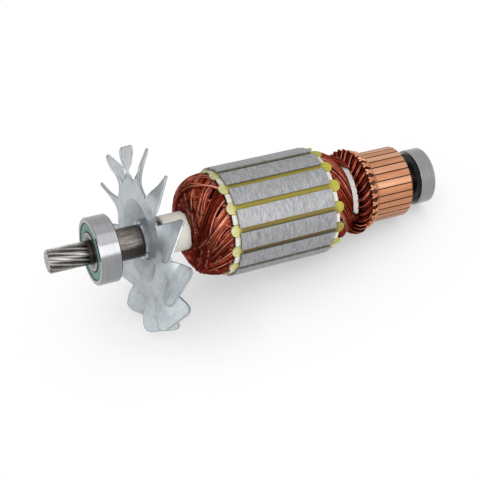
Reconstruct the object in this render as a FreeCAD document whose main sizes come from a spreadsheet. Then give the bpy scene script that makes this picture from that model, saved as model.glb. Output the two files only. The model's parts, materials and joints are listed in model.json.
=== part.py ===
"""Motor armature of a hand-held power tool, with its fan and both ball bearings.

Every sub-part is drawn about the shaft axis, which is local Z, with stations
measured from the tip of the pinion. One placement then lays the whole armature
on the bench: the shaft runs along +X from the pinion to the commutator, and it
slopes down by the angle at which fan and commutator touch the same flat surface.
The origin is the centre of the front bearing, on the shaft axis.
"""

import FreeCAD, Part
import math
import os
import Sketcher

V = FreeCAD.Vector
AXIS = V(0, 0, 1)

# Driving dimensions in millimetres, angles in degrees
SIZES = {
    # shaft and pinion
    "pinion_length": 18.5,
    "pinion_neck": 2.0,
    "pinion_radius": 5.6,
    "pinion_root_radius": 4.0,
    "pinion_tip_chamfer": 0.7,
    "tooth_count": 13,
    "helix_angle": 15,
    "tooth_gap_outer": 2.28,
    "tooth_gap_overrun": 0.5,
    "tooth_gap_root": 0.8,
    "collar_length": 14,
    "collar_radius": 7.7,
    "collar_round": 0.6,
    "journal_radius": 7.0,
    "commutator_seat_radius": 6.8,
    "centre_hole_radius": 1.2,
    "centre_hole_depth": 1.6,
    "shaft_end_chamfer": 0.6,
    # front bearing
    "front_bore_radius": 6,
    "front_outer_radius": 16,
    "front_width": 10,
    "front_ball_radius": 2.976,
    "front_ball_count": 7,
    # rear bearing
    "rear_bore_radius": 6,
    "rear_outer_radius": 14,
    "rear_width": 8,
    "rear_ball_radius": 2.381,
    "rear_ball_count": 8,
    # shared by both bearings
    "ring_edge": 0.5,
    "race_clearance": 0.04,
    "shoulder_share": 0.63,
    "cage_thickness": 0.9,
    "cage_side": 0.35,
    "pocket_clearance": 0.15,
    "seal_thickness": 0.5,
    "seal_inset": 0.3,
    "seal_recess": 0.8,
    "seal_lip_gap": 0.3,
    "seal_fit": 0.05,
    # cooling fan and its hub
    "hub_length": 5,
    "hub_radius": 9.7,
    "stake_count": 12,
    "stake_depth": 0.9,
    "stake_width": 1.3,
    "stake_length": 1.6,
    "hub_spigot_radius": 8.6,
    "hub_spigot_proud": 0.5,
    "fan_sheet": 1.0,
    "fan_seat_radius": 12.5,
    "fan_dish": 4.9,
    "fan_dish_radius": 20,
    "fan_slit_radius": 27.5,
    "blade_tab": 2.0,
    "blade_tab_proud": 0.4,
    "fan_radius": 44,
    "fan_slit": 1.1,
    "blade_count": 12,
    "blade_twist": 33,
    "blade_lean": 2.2,
    "blade_corner_depth": 4,
    "blade_corner_width": 4.2,
    # insulating sleeve and laminated core
    "bare_shaft": 5.6,
    "sleeve_radius": 9.3,
    "sleeve_edge": 0.5,
    "sleeve_lead": 29.7,
    "sleeve_tail": 19,
    "core_radius": 26.43,
    "core_length": 49.7,
    "slot_count": 15,
    "slot_turn": 2.5,
    "slot_mouth": 2.5,
    "lip_depth": 1.25,
    "slot_shoulder": 1.3,
    "slot_top_width": 6.6,
    "slot_bottom_width": 3.0,
    "slot_bottom_radius": 14.2,
    "insulator_thickness": 2.5,
    "insulator_drop": 1.3,
    "liner_thickness": 0.3,
    "wedge_width": 5.6,
    "wedge_thickness": 1.1,
    "wedge_end_rise": 2.2,
    "wedge_front_proud": 4.2,
    "wedge_rear_proud": 5.0,
    "wedge_fit": 0.1,
    # windings
    "winding_opening": 0.4,
    "drive_head_length": 14.8,
    "drive_head_radius": 23.4,
    "drive_nose_radius": 12.5,
    "rear_head_length": 13.3,
    "rear_head_radius": 22.8,
    "waist_radius": 16.8,
    "drive_sweep": -42,
    "rear_sweep": 32,
    "lead_ring_radius": 20.5,
    "lead_sweep": -12,
    "coil_relief": 0.075,
    "lead_relief": 0.04,
    "lashing_width": 3.0,
    "lashing_thickness": 0.7,
    "lashing_edge": 0.3,
    "lashing_grip": 0.2,
    # commutator
    "rear_winding_room": 23.5,
    "commutator_length": 25,
    "commutator_radius": 17.66,
    "commutator_edge": 0.8,
    "bar_count": 30,
    "bar_turn": 2.5,
    "bar_gap": 0.5,
    "bar_root_radius": 11.6,
    "bar_neck_radius": 13.4,
    "bar_dovetail": 3.2,
    "bar_undercut": 0.8,
    "fin_root": 1.0,
    "hook_length": 4.6,
    "hook_fold": 1.9,
    "hook_rise": 1.2,
    "hook_thickness": 0.6,
    "hook_width": 2.3,
    "hub_tail": 1.4,
    "hub_tail_radius": 12.2,
    "bearing_gap": 7.5,
}

os.makedirs("parts", exist_ok=True)
doc = FreeCAD.newDocument("motor_armature")
sheet = doc.addObject("Spreadsheet::Sheet", "Sizes")
for row, (size_name, size_value) in enumerate(SIZES.items(), start=1):
    sheet.set("A%d" % row, size_name)
    sheet.set("B%d" % row, str(size_value))
    sheet.setAlias("B%d" % row, size_name)
doc.recompute()

# Stations along the shaft, from the tip of the pinion
FRONT_STATION = "(Sizes.pinion_length + Sizes.pinion_neck)"
COLLAR_STATION = "(%s + Sizes.front_width)" % FRONT_STATION
HUB_STATION = "(%s + Sizes.collar_length)" % COLLAR_STATION
FAN_STATION = "(%s + Sizes.hub_length)" % HUB_STATION
SLEEVE_STATION = "(%s + Sizes.bare_shaft)" % FAN_STATION
CORE_STATION = "(%s + Sizes.sleeve_lead)" % SLEEVE_STATION
CORE_END = "(%s + Sizes.core_length)" % CORE_STATION
BAR_STATION = "(%s + Sizes.rear_winding_room)" % CORE_END
BAR_END = "(%s + Sizes.commutator_length)" % BAR_STATION
REAR_STATION = "(%s + Sizes.bearing_gap)" % BAR_END
SHAFT_END = "(%s + Sizes.rear_width)" % REAR_STATION

# Heights and widths that several pieces share
LIP_RADIUS = "(Sizes.core_radius - Sizes.lip_depth)"
SLOT_TOP_RADIUS = "(%s - Sizes.slot_shoulder)" % LIP_RADIUS
INSULATOR_RADIUS = "(Sizes.core_radius - Sizes.insulator_drop)"
FRONT_INSULATOR = "(%s - Sizes.insulator_thickness)" % CORE_STATION
REAR_INSULATOR = "(%s + Sizes.insulator_thickness)" % CORE_END
WINDING_BORE = "(Sizes.sleeve_radius + Sizes.winding_opening)"
REAR_HEAD_END = "(%s + Sizes.rear_head_length)" % REAR_INSULATOR
FAN_PLANE = "(%s - Sizes.fan_dish)" % FAN_STATION
TAB_END = "(Sizes.fan_slit_radius + Sizes.blade_tab_proud)"
BAR_ANGLE = "(360 / Sizes.bar_count - Sizes.bar_gap / Sizes.commutator_radius * 180 / pi)"

# Steps of the lofts that cut the pinion's teeth
TOOTH_STEPS = 4
# Blade stages: share of its length and of its full twist
TWIST_STAGES = [(0.0, 0.0), (0.2, 0.4), (0.45, 0.85)]
# Angles of the points that round a blade's corner off, from its side to its tip
TIP_ANGLES = [0, 30, 60, 90]
# Fan-end head: share of its length from the nose, share of its swell, share of its sweep
DRIVE_STAGES = [
    (0.0, 0.0, 0.0),
    (0.09, 0.42, 0.2),
    (0.25, 0.7, 0.42),
    (0.47, 0.9, 0.64),
    (0.73, 0.99, 0.83),
    (1.0, 1.0, 1.0),
]
# Commutator-end head: the same from the core to the waist
REAR_STAGES = [
    (0.0, 1.0, 0.0),
    (0.23, 1.0, 0.25),
    (0.45, 0.87, 0.46),
    (0.64, 0.65, 0.65),
    (0.81, 0.34, 0.81),
    (0.9, 0.07, 0.9),
    (1.0, 0.0, 1.0),
]
# Leads: share of their length from the waist, share of their rise, share of their sweep
LEAD_STAGES = [
    (0.0, 0.0, 0.0),
    (0.19, 0.05, 0.18),
    (0.34, 0.55, 0.34),
    (0.5, 0.93, 0.5),
    (0.75, 1.1, 0.75),
    (1.0, 1.0, 1.0),
]

# Angle about the shaft that points down at the bench once the armature lies there
DOWN = 270
# Turns tried for the fan to find the one it rests in
TURN_STEPS = 600
# Turn of each wound or keyed piece past a blade of the fan
FAN_OFFSETS = {
    "lamination_stack": "Sizes.slot_turn",
    "front_end_insulator": "Sizes.slot_turn",
    "rear_end_insulator": "Sizes.slot_turn",
    "slot_liners": "Sizes.slot_turn",
    "slot_windings": "Sizes.slot_turn",
    "slot_wedges": "Sizes.slot_turn",
    "drive_end_winding": "Sizes.slot_turn",
    "commutator_end_winding": "Sizes.slot_turn",
    "riser_leads": "Sizes.bar_turn",
    "commutator_bars": "Sizes.bar_turn",
    "commutator_hub": "Sizes.bar_turn + 180 / Sizes.bar_count",
}

bodies = []


def value(expression):
    """Number that an expression on the sheet stands for."""
    result = sheet.evalExpression(expression.replace("Sizes.", ""))
    return float(getattr(result, "Value", result))


def new_body(label):
    """Empty body of one sub-part, in the frame of the shaft."""
    body = doc.addObject("PartDesign::Body", label)
    body.Label = label
    body.AllowCompound = True
    bodies.append(body)
    return body


def origin_feature(body, role):
    """Origin plane or axis of a body."""
    for feature in body.Origin.OriginFeatures:
        if feature.Role == role:
            return feature
    raise ValueError("no %s in %s" % (role, body.Label))


def new_sketch(body, name, role, lift=None, side=None, turn=None):
    """Sketch on an origin plane, lifted off it, moved along it and turned in it."""
    sketch = body.newObject("Sketcher::SketchObject", name)
    sketch.AttachmentSupport = (origin_feature(body, role), [""])
    sketch.MapMode = "FlatFace"
    if lift:
        sketch.setExpression("AttachmentOffset.Base.z", lift)
    if side:
        sketch.setExpression("AttachmentOffset.Base.y", side)
    if turn:
        sketch.setExpression("AttachmentOffset.Rotation.Angle", turn)
    return sketch


def bind(sketch, kind, index, point, expression, amount):
    """Ties one coordinate of a sketch point to an expression."""
    if abs(amount) < 1e-9 and expression == "0":
        line = -2 if kind == "DistanceX" else -1
        sketch.addConstraint(Sketcher.Constraint("PointOnObject", index, point, line))
        return
    constraint = Sketcher.Constraint(kind, -1, 1, index, point, amount)
    number = sketch.addConstraint(constraint)
    sketch.setExpression("Constraints[%d]" % number, expression)


def arc_radius(start, end, rise):
    """Radius, as an expression, of an arc that rises so far over its chord."""
    across = "(%s - (%s))" % (end[0], start[0])
    along = "(%s - (%s))" % (end[1], start[1])
    return "(((%s ^ 2 + %s ^ 2) / 4 + (%s) ^ 2) / (2 * (%s)))" % (across, along, rise, rise)


def arc_centre(start, end, radius):
    """Centre of the arc that runs anticlockwise from start to end."""
    middle = (start + end) * 0.5
    half = (end - start) * 0.5
    reach = math.sqrt(radius * radius - half.Length ** 2)
    return middle + V(-half.y, half.x, 0).normalize() * reach


def outline(sketch, corners):
    """Closed outline of (u, v) corners. A third value is the rise of the arc that follows."""
    points = [V(value(corner[0]), value(corner[1]), 0) for corner in corners]
    count = len(corners)
    radii = {}
    for index, corner in enumerate(corners):
        start = points[index]
        end = points[(index + 1) % count]
        if len(corner) == 3:
            radii[index] = arc_radius(corner, corners[(index + 1) % count], corner[2])
            radius = value(radii[index])
            centre = arc_centre(start, end, radius)
            first = math.atan2(start.y - centre.y, start.x - centre.x)
            last = math.atan2(end.y - centre.y, end.x - centre.x)
            circle = Part.Circle(centre, AXIS, radius)
            sketch.addGeometry(Part.ArcOfCircle(circle, first, last), False)
        else:
            sketch.addGeometry(Part.LineSegment(start, end), False)
    for index in range(count):
        following = (index + 1) % count
        sketch.addConstraint(Sketcher.Constraint("Coincident", index, 2, following, 1))
    for index, corner in enumerate(corners):
        bind(sketch, "DistanceX", index, 1, corner[0], points[index].x)
        bind(sketch, "DistanceY", index, 1, corner[1], points[index].y)
    for index, radius in radii.items():
        constraint = Sketcher.Constraint("Radius", index, value(radius))
        number = sketch.addConstraint(constraint)
        sketch.setExpression("Constraints[%d]" % number, radius)


def half_disc(sketch, centre, radius):
    """Half circle standing on the sketch's first axis, closed by its diameter."""
    middle = V(value(centre), 0, 0)
    circle = Part.Circle(middle, AXIS, value(radius))
    reach = V(value(radius), 0, 0)
    sketch.addGeometry(Part.ArcOfCircle(circle, 0, math.pi), False)
    sketch.addGeometry(Part.LineSegment(middle - reach, middle + reach), False)
    sketch.addConstraint(Sketcher.Constraint("Coincident", 0, 2, 1, 1))
    sketch.addConstraint(Sketcher.Constraint("Coincident", 0, 1, 1, 2))
    sketch.addConstraint(Sketcher.Constraint("PointOnObject", 0, 1, -1))
    sketch.addConstraint(Sketcher.Constraint("PointOnObject", 0, 2, -1))
    sketch.addConstraint(Sketcher.Constraint("PointOnObject", 0, 3, -1))
    bind(sketch, "DistanceX", 0, 3, centre, middle.x)
    number = sketch.addConstraint(Sketcher.Constraint("Radius", 0, value(radius)))
    sketch.setExpression("Constraints[%d]" % number, radius)


def ring(sketch, u, v, radius):
    """Full circle."""
    centre = V(value(u), value(v), 0)
    circle = Part.Circle(centre, AXIS, value(radius))
    index = sketch.addGeometry(circle, False)
    bind(sketch, "DistanceX", index, 3, u, centre.x)
    bind(sketch, "DistanceY", index, 3, v, centre.y)
    number = sketch.addConstraint(Sketcher.Constraint("Radius", index, value(radius)))
    sketch.setExpression("Constraints[%d]" % number, radius)


def revolve(body, name, corners, angle="360", cut=False):
    """Turned form about the shaft axis, or a turned cut."""
    sketch = new_sketch(body, name + "_profile", "XZ_Plane")
    outline(sketch, corners)
    return turn_profile(body, name, sketch, angle, cut)


def turn_profile(body, name, sketch, angle="360", cut=False):
    """Revolution or groove of a ready sketch, centred on its plane."""
    kind = "PartDesign::Groove" if cut else "PartDesign::Revolution"
    feature = body.newObject(kind, name)
    feature.Profile = sketch
    feature.ReferenceAxis = (sketch, ["V_Axis"])
    if angle == "360":
        feature.Angle = 360
    else:
        feature.Midplane = True
        feature.setExpression("Angle", angle)
    return feature


def pattern(body, feature, count):
    """Copies of a feature, evenly round the shaft axis."""
    copies = body.newObject("PartDesign::PolarPattern", feature.Name + "_round")
    copies.Originals = [feature]
    copies.Axis = (origin_feature(body, "Z_Axis"), [""])
    copies.Angle = 360
    copies.setExpression("Occurrences", count)
    body.Tip = copies
    return copies


def pad(body, name, sketch, length, cut=False):
    """Pad along the sketch normal, or a pocket along it."""
    kind = "PartDesign::Pocket" if cut else "PartDesign::Pad"
    feature = body.newObject(kind, name)
    feature.Profile = sketch
    feature.setExpression("Length", length)
    feature.Reversed = cut
    return feature


def loft(body, name, sections, cut=False, ruled=False):
    """Loft through sketches in order."""
    kind = "PartDesign::SubtractiveLoft" if cut else "PartDesign::AdditiveLoft"
    feature = body.newObject(kind, name)
    feature.Profile = sections[0]
    feature.Sections = sections[1:]
    feature.Ruled = ruled
    return feature


def box_ring(inner, outer, start, end, edge="0"):
    """Corners of a ring section, with both outer edges broken where edge is given."""
    if edge == "0":
        return [(inner, start), (outer, start), (outer, end), (inner, end)]
    return [
        (inner, start),
        ("%s - %s" % (outer, edge), start),
        (outer, "%s + %s" % (start, edge)),
        (outer, "%s - %s" % (end, edge)),
        ("%s - %s" % (outer, edge), end),
        (inner, end),
    ]


def make_shaft():
    """Ground steel shaft with the helical pinion cut in its end."""
    body = new_body("armature_shaft")
    front_end = COLLAR_STATION
    seat_end = HUB_STATION
    revolve(body, "turned_blank", [
        ("0", "Sizes.centre_hole_depth"),
        ("Sizes.centre_hole_radius", "0"),
        ("Sizes.pinion_radius - Sizes.pinion_tip_chamfer", "0"),
        ("Sizes.pinion_radius", "Sizes.pinion_tip_chamfer"),
        ("Sizes.pinion_radius", FRONT_STATION),
        ("Sizes.front_bore_radius", FRONT_STATION),
        ("Sizes.front_bore_radius", front_end),
        ("Sizes.collar_radius", front_end),
        ("Sizes.collar_radius", "%s - Sizes.collar_round" % seat_end),
        ("Sizes.collar_radius - Sizes.collar_round", seat_end),
        ("Sizes.journal_radius", seat_end),
        ("Sizes.journal_radius", BAR_STATION),
        ("Sizes.commutator_seat_radius", BAR_STATION),
        ("Sizes.commutator_seat_radius", REAR_STATION),
        ("Sizes.rear_bore_radius", REAR_STATION),
        ("Sizes.rear_bore_radius", "%s - Sizes.shaft_end_chamfer" % SHAFT_END),
        ("Sizes.rear_bore_radius - Sizes.shaft_end_chamfer", SHAFT_END),
        ("Sizes.centre_hole_radius", SHAFT_END),
        ("0", "%s - Sizes.centre_hole_depth" % SHAFT_END),
    ])
    overrun = "Sizes.tooth_gap_overrun"
    lead = "(tan(Sizes.helix_angle) / Sizes.pinion_radius * 180 / pi)"
    sections = []
    for step in range(TOOTH_STEPS + 1):
        share = "%d / %d" % (step, TOOTH_STEPS)
        reach = "(%s * (Sizes.pinion_length + %s) - %s)" % (share, overrun, overrun)
        turn = "%s * %s * 1deg" % (reach, lead)
        sketch = new_sketch(body, "tooth_gap_%d" % step, "XY_Plane", lift=reach, turn=turn)
        outline(sketch, [
            ("Sizes.pinion_root_radius", "-Sizes.tooth_gap_root / 2"),
            ("Sizes.pinion_radius + %s" % overrun, "-Sizes.tooth_gap_outer / 2"),
            ("Sizes.pinion_radius + %s" % overrun, "Sizes.tooth_gap_outer / 2"),
            ("Sizes.pinion_root_radius", "Sizes.tooth_gap_root / 2"),
        ])
        sections.append(sketch)
    gap = loft(body, "tooth_gap", sections, cut=True)
    pattern(body, gap, "Sizes.tooth_count")
    return body


def make_bearing(side, station):
    """Sealed deep-groove ball bearing: rings, balls, cage and two seals."""
    bore = "Sizes.%s_bore_radius" % side
    outer = "Sizes.%s_outer_radius" % side
    width = "Sizes.%s_width" % side
    ball = "Sizes.%s_ball_radius" % side
    count = "Sizes.%s_ball_count" % side
    end = "(%s + %s)" % (station, width)
    middle = "(%s + %s / 2)" % (station, width)
    pitch = "((%s + %s) / 2)" % (bore, outer)
    race = "%s + Sizes.race_clearance" % ball
    inner_land = "(%s - %s * Sizes.shoulder_share)" % (pitch, ball)
    outer_land = "(%s + %s * Sizes.shoulder_share)" % (pitch, ball)
    recess = "(%s + Sizes.seal_recess)" % outer_land
    edge = "Sizes.ring_edge"
    seal_depth = "(Sizes.seal_inset + Sizes.seal_thickness)"
    name = side + "_bearing_"

    inner_ring = new_body(name + "inner_ring")
    revolve(inner_ring, name + "inner_blank", [
        ("%s + %s" % (bore, edge), station),
        (inner_land, station),
        (inner_land, end),
        ("%s + %s" % (bore, edge), end),
        (bore, "%s - %s" % (end, edge)),
        (bore, "%s + %s" % (station, edge)),
    ])
    track = new_sketch(inner_ring, name + "inner_track", "XZ_Plane")
    ring(track, pitch, middle, race)
    turn_profile(inner_ring, name + "inner_race", track, cut=True)

    outer_ring = new_body(name + "outer_ring")
    revolve(outer_ring, name + "outer_blank", [
        (recess, station),
        ("%s - %s" % (outer, edge), station),
        (outer, "%s + %s" % (station, edge)),
        (outer, "%s - %s" % (end, edge)),
        ("%s - %s" % (outer, edge), end),
        (recess, end),
        (recess, "%s - %s" % (end, seal_depth)),
        (outer_land, "%s - %s" % (end, seal_depth)),
        (outer_land, "%s + %s" % (station, seal_depth)),
        (recess, "%s + %s" % (station, seal_depth)),
    ])
    track = new_sketch(outer_ring, name + "outer_track", "XZ_Plane")
    ring(track, pitch, middle, race)
    turn_profile(outer_ring, name + "outer_race", track, cut=True)

    balls = new_body(name + "balls")
    half = new_sketch(balls, name + "ball_half", "XY_Plane", lift=middle)
    half_disc(half, pitch, ball)
    sphere = balls.newObject("PartDesign::Revolution", name + "ball")
    sphere.Profile = half
    sphere.ReferenceAxis = (half, ["H_Axis"])
    sphere.Angle = 360
    pattern(balls, sphere, count)

    cage = new_body(name + "cage")
    reach = "(%s + Sizes.pocket_clearance + Sizes.cage_side)" % ball
    revolve(cage, name + "cage_band", box_ring(
        "(%s - Sizes.cage_thickness)" % pitch,
        "(%s + Sizes.cage_thickness)" % pitch,
        "(%s - %s)" % (middle, reach),
        "(%s + %s)" % (middle, reach),
    ))
    half = new_sketch(cage, name + "pocket_half", "XY_Plane", lift=middle)
    outline(half, box_ring(
        "(%s - 2 * Sizes.cage_thickness)" % pitch,
        "(%s + 2 * Sizes.cage_thickness)" % pitch,
        "0",
        "(%s + Sizes.pocket_clearance)" % ball,
    ))
    pocket = cage.newObject("PartDesign::Groove", name + "pocket")
    pocket.Profile = half
    pocket.ReferenceAxis = (half, ["H_Axis"])
    pocket.Angle = 360
    pattern(cage, pocket, count)

    seal_inner = "(%s + Sizes.seal_lip_gap)" % inner_land
    seal_outer = "(%s - Sizes.seal_fit)" % recess
    starts = {
        "front_seal": "(%s + Sizes.seal_inset)" % station,
        "rear_seal": "(%s - %s)" % (end, seal_depth),
    }
    for label, start in starts.items():
        seal = new_body(name + label)
        finish = "%s + Sizes.seal_thickness" % start
        revolve(seal, name + label + "_disc", box_ring(seal_inner, seal_outer, start, finish))


def make_fan_hub():
    """Flanged bush that carries the fan, with a spigot spread over the sheet."""
    body = new_body("fan_hub")
    spigot_end = "%s + Sizes.fan_sheet + Sizes.hub_spigot_proud" % FAN_STATION
    revolve(body, "hub_form", [
        ("Sizes.journal_radius", HUB_STATION),
        ("Sizes.hub_radius - Sizes.collar_round", HUB_STATION),
        ("Sizes.hub_radius", "%s + Sizes.collar_round" % HUB_STATION),
        ("Sizes.hub_radius", FAN_STATION),
        ("Sizes.hub_spigot_radius", FAN_STATION),
        ("Sizes.hub_spigot_radius", spigot_end),
        ("Sizes.journal_radius", spigot_end),
    ])
    notch = revolve(body, "stake_notch", [
        ("Sizes.hub_radius - Sizes.stake_depth", HUB_STATION),
        ("Sizes.hub_radius + Sizes.stake_depth", HUB_STATION),
        ("Sizes.hub_radius + Sizes.stake_depth", "%s + Sizes.stake_length" % HUB_STATION),
        ("Sizes.hub_radius - Sizes.stake_depth", "%s + Sizes.stake_length" % HUB_STATION),
    ], "Sizes.stake_width / Sizes.hub_radius * 180 / pi", cut=True)
    pattern(body, notch, "Sizes.stake_count")
    return body


def blade_half(radius, cut):
    """Half the width of a blade at a radius, less what its corner takes off."""
    pitch = "tan(180 / Sizes.blade_count) * %s" % radius
    return "(%s - Sizes.fan_slit / 2 - %s)" % (pitch, cut)


def tip_stage(angle):
    """Radius and half width of a blade at an angle of its rounded corner."""
    radius = "(Sizes.fan_radius - Sizes.blade_corner_depth * (1 - sin(%g)))" % angle
    return radius, blade_half(radius, "Sizes.blade_corner_width * (1 - cos(%g))" % angle)


def blade_station(radius):
    """Station of the middle of a blade's sheet at a radius, with the blade's lean to the core."""
    share = "((%s - %s) / (Sizes.fan_radius - %s))" % (radius, TAB_END, TAB_END)
    return "(%s + Sizes.fan_sheet / 2 + Sizes.blade_lean * %s)" % (FAN_PLANE, share)


def blade_section(sketch, half):
    """Thin section of the sheet, as wide as the blade there."""
    outline(sketch, [
        ("-" + half, "-Sizes.fan_sheet / 2"),
        (half, "-Sizes.fan_sheet / 2"),
        (half, "Sizes.fan_sheet / 2"),
        ("-" + half, "Sizes.fan_sheet / 2"),
    ])


def make_fan():
    """Stamped sheet fan: a dished disc with blades slit and twisted out of its rim."""
    body = new_body("cooling_fan")
    front = FAN_PLANE
    revolve(body, "dished_disc", [
        ("Sizes.hub_spigot_radius", FAN_STATION),
        ("Sizes.fan_seat_radius", FAN_STATION),
        ("Sizes.fan_dish_radius", front),
        ("Sizes.fan_slit_radius", front),
        ("Sizes.fan_slit_radius", "%s + Sizes.fan_sheet" % front),
        ("Sizes.fan_dish_radius", "%s + Sizes.fan_sheet" % front),
        ("Sizes.fan_seat_radius", "%s + Sizes.fan_sheet" % FAN_STATION),
        ("Sizes.hub_spigot_radius", "%s + Sizes.fan_sheet" % FAN_STATION),
    ])
    tab_start = "(Sizes.fan_slit_radius - Sizes.blade_tab)"
    tab = new_sketch(body, "blade_tab_section", "YZ_Plane", tab_start, blade_station(TAB_END))
    blade_section(tab, blade_half(TAB_END, "0"))
    root = pad(body, "blade_tab", tab, "Sizes.blade_tab + Sizes.blade_tab_proud")
    length = "(Sizes.fan_radius - %s)" % TAB_END
    sections = []
    for number, (share, twist) in enumerate(TWIST_STAGES):
        radius = "(%s + %s * %g)" % (TAB_END, length, share)
        turn = "-Sizes.blade_twist * %g * 1deg" % twist
        middle = blade_station(radius)
        sketch = new_sketch(body, "blade_%d" % number, "YZ_Plane", radius, middle, turn)
        blade_section(sketch, blade_half(radius, "0"))
        sections.append(sketch)
    for angle in TIP_ANGLES:
        radius, half = tip_stage(angle)
        turn = "-Sizes.blade_twist * 1deg"
        middle = blade_station(radius)
        sketch = new_sketch(body, "blade_tip_%d" % angle, "YZ_Plane", radius, middle, turn)
        blade_section(sketch, half)
        sections.append(sketch)
    blade = loft(body, "blade", sections, ruled=True)
    copies = pattern(body, blade, "Sizes.blade_count")
    copies.Originals = [root, blade]
    return body


def make_sleeve():
    """Insulating sleeve between the shaft and everything live on it."""
    body = new_body("shaft_sleeve")
    end = "(%s + Sizes.sleeve_tail)" % CORE_END
    revolve(body, "sleeve_form", box_ring(
        "Sizes.journal_radius", "Sizes.sleeve_radius", SLEEVE_STATION, end, "Sizes.sleeve_edge"))
    return body


def slot_corners(inset):
    """Slot outline below the lips, shrunk by an inset."""
    top = "(Sizes.slot_top_width / 2 - %s)" % inset
    bottom = "(Sizes.slot_bottom_width / 2 - %s)" % inset
    return [
        ("Sizes.slot_bottom_radius + %s" % inset, "-" + bottom),
        ("%s" % SLOT_TOP_RADIUS, "-" + top),
        ("%s" % SLOT_TOP_RADIUS, top),
        ("Sizes.slot_bottom_radius + %s" % inset, bottom),
    ]


def toothed_disc(label, radius, start, length):
    """Core section with one slot cut and repeated, as a plate or a stack."""
    body = new_body(label)
    blank = new_sketch(body, label + "_blank", "XY_Plane", lift=start)
    ring(blank, "0", "0", radius)
    ring(blank, "0", "0", "Sizes.sleeve_radius")
    pad(body, label + "_plate", blank, length)
    cut = new_sketch(body, label + "_slot", "XY_Plane", lift=start)
    mouth = "Sizes.slot_mouth / 2"
    top = "Sizes.slot_top_width / 2"
    bottom = "Sizes.slot_bottom_width / 2"
    outline(cut, [
        ("Sizes.slot_bottom_radius", "-" + bottom),
        (SLOT_TOP_RADIUS, "-" + top),
        (LIP_RADIUS, "-(Sizes.wedge_width / 2 + Sizes.wedge_fit)"),
        (LIP_RADIUS, "-" + mouth),
        ("Sizes.core_radius + Sizes.lip_depth", "-" + mouth),
        ("Sizes.core_radius + Sizes.lip_depth", mouth),
        (LIP_RADIUS, mouth),
        (LIP_RADIUS, "Sizes.wedge_width / 2 + Sizes.wedge_fit"),
        (SLOT_TOP_RADIUS, top),
        ("Sizes.slot_bottom_radius", bottom),
    ])
    slot = pad(body, label + "_cut", cut, length, cut=True)
    pattern(body, slot, "Sizes.slot_count")
    return body


def make_core():
    """Laminated core and the white toothed discs that insulate its two ends."""
    toothed_disc("lamination_stack", "Sizes.core_radius", CORE_STATION, "Sizes.core_length")
    thick = "Sizes.insulator_thickness"
    toothed_disc("front_end_insulator", INSULATOR_RADIUS, FRONT_INSULATOR, thick)
    toothed_disc("rear_end_insulator", INSULATOR_RADIUS, CORE_END, thick)


def make_slot_fill():
    """Paper liners, coil sides and closing wedges of the slots."""
    length = "(Sizes.core_length + 2 * Sizes.insulator_thickness)"
    liners = new_body("slot_liners")
    sheet_sketch = new_sketch(liners, "liner_section", "XY_Plane", lift=FRONT_INSULATOR)
    inset = "Sizes.liner_thickness"
    top = "Sizes.slot_top_width / 2"
    bottom = "Sizes.slot_bottom_width / 2"
    outline(sheet_sketch, [
        (SLOT_TOP_RADIUS, "-" + top),
        ("Sizes.slot_bottom_radius", "-" + bottom),
        ("Sizes.slot_bottom_radius", bottom),
        (SLOT_TOP_RADIUS, top),
        (SLOT_TOP_RADIUS, "%s - %s" % (top, inset)),
        ("Sizes.slot_bottom_radius + " + inset, "%s - %s" % (bottom, inset)),
        ("Sizes.slot_bottom_radius + " + inset, "-(%s - %s)" % (bottom, inset)),
        (SLOT_TOP_RADIUS, "-(%s - %s)" % (top, inset)),
    ])
    liner = pad(liners, "liner", sheet_sketch, length)
    pattern(liners, liner, "Sizes.slot_count")

    coils = new_body("slot_windings")
    coil_sketch = new_sketch(coils, "coil_section", "XY_Plane", lift=FRONT_INSULATOR)
    outline(coil_sketch, slot_corners(inset))
    coil = pad(coils, "coil_side", coil_sketch, length)
    pattern(coils, coil, "Sizes.slot_count")


def make_wedges():
    """Flat slot wedges with round ends that stand out past the core."""
    body = new_body("slot_wedges")
    front = "(%s - Sizes.wedge_front_proud)" % CORE_STATION
    rear = "(%s + Sizes.wedge_rear_proud)" % CORE_END
    half = "(Sizes.wedge_width / 2)"
    rise = "Sizes.wedge_end_rise"
    base = "(%s - Sizes.wedge_thickness)" % LIP_RADIUS
    strip = new_sketch(body, "wedge_strip", "YZ_Plane", lift=base)
    outline(strip, [
        ("-" + half, "%s + %s" % (front, rise), rise),
        (half, "%s + %s" % (front, rise)),
        (half, "%s - %s" % (rear, rise), rise),
        ("-" + half, "%s - %s" % (rear, rise)),
    ])
    plate = pad(body, "wedge_plate", strip, "Sizes.wedge_thickness")
    pattern(body, plate, "Sizes.slot_count")
    return body


def coil_section(body, name, station, turn, radius, count, relief):
    """Section of a winding: one arc over each coil, with its crest at the radius."""
    sketch = new_sketch(body, name, "XY_Plane", lift=station, turn=turn + " * 1deg")
    valley = "(%s / (cos(180 / %s) + %s))" % (radius, count, relief)
    corners = []
    for coil in range(int(value(count))):
        angle = "(360 * (%d + 1 / 3) / %s)" % (coil, count)
        across = "%s * cos(%s)" % (valley, angle)
        along = "%s * sin(%s)" % (valley, angle)
        corners.append((across, along, "%s * %s" % (valley, relief)))
    outline(sketch, corners)
    return sketch


def swept_winding(label, start, length, stages, sweep, count, relief):
    """Winding whose coils stand out in relief and sweep round from one end to the other.

    Each stage is (share of the length, radius, share of the sweep)."""
    body = new_body(label)
    sections = []
    for number, (share, radius, turned) in enumerate(stages):
        station = "(%s + %s * %g)" % (start, length, share)
        turn = "%s * %g" % (sweep, turned)
        name = "%s_%d" % (label, number)
        sections.append(coil_section(body, name, station, turn, radius, count, relief))
    loft(body, label + "_coils", sections)
    bore = new_sketch(body, label + "_bore", "XY_Plane", lift=start)
    ring(bore, "0", "0", WINDING_BORE)
    pad(body, label + "_bored", bore, length, cut=True)
    return body


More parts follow.
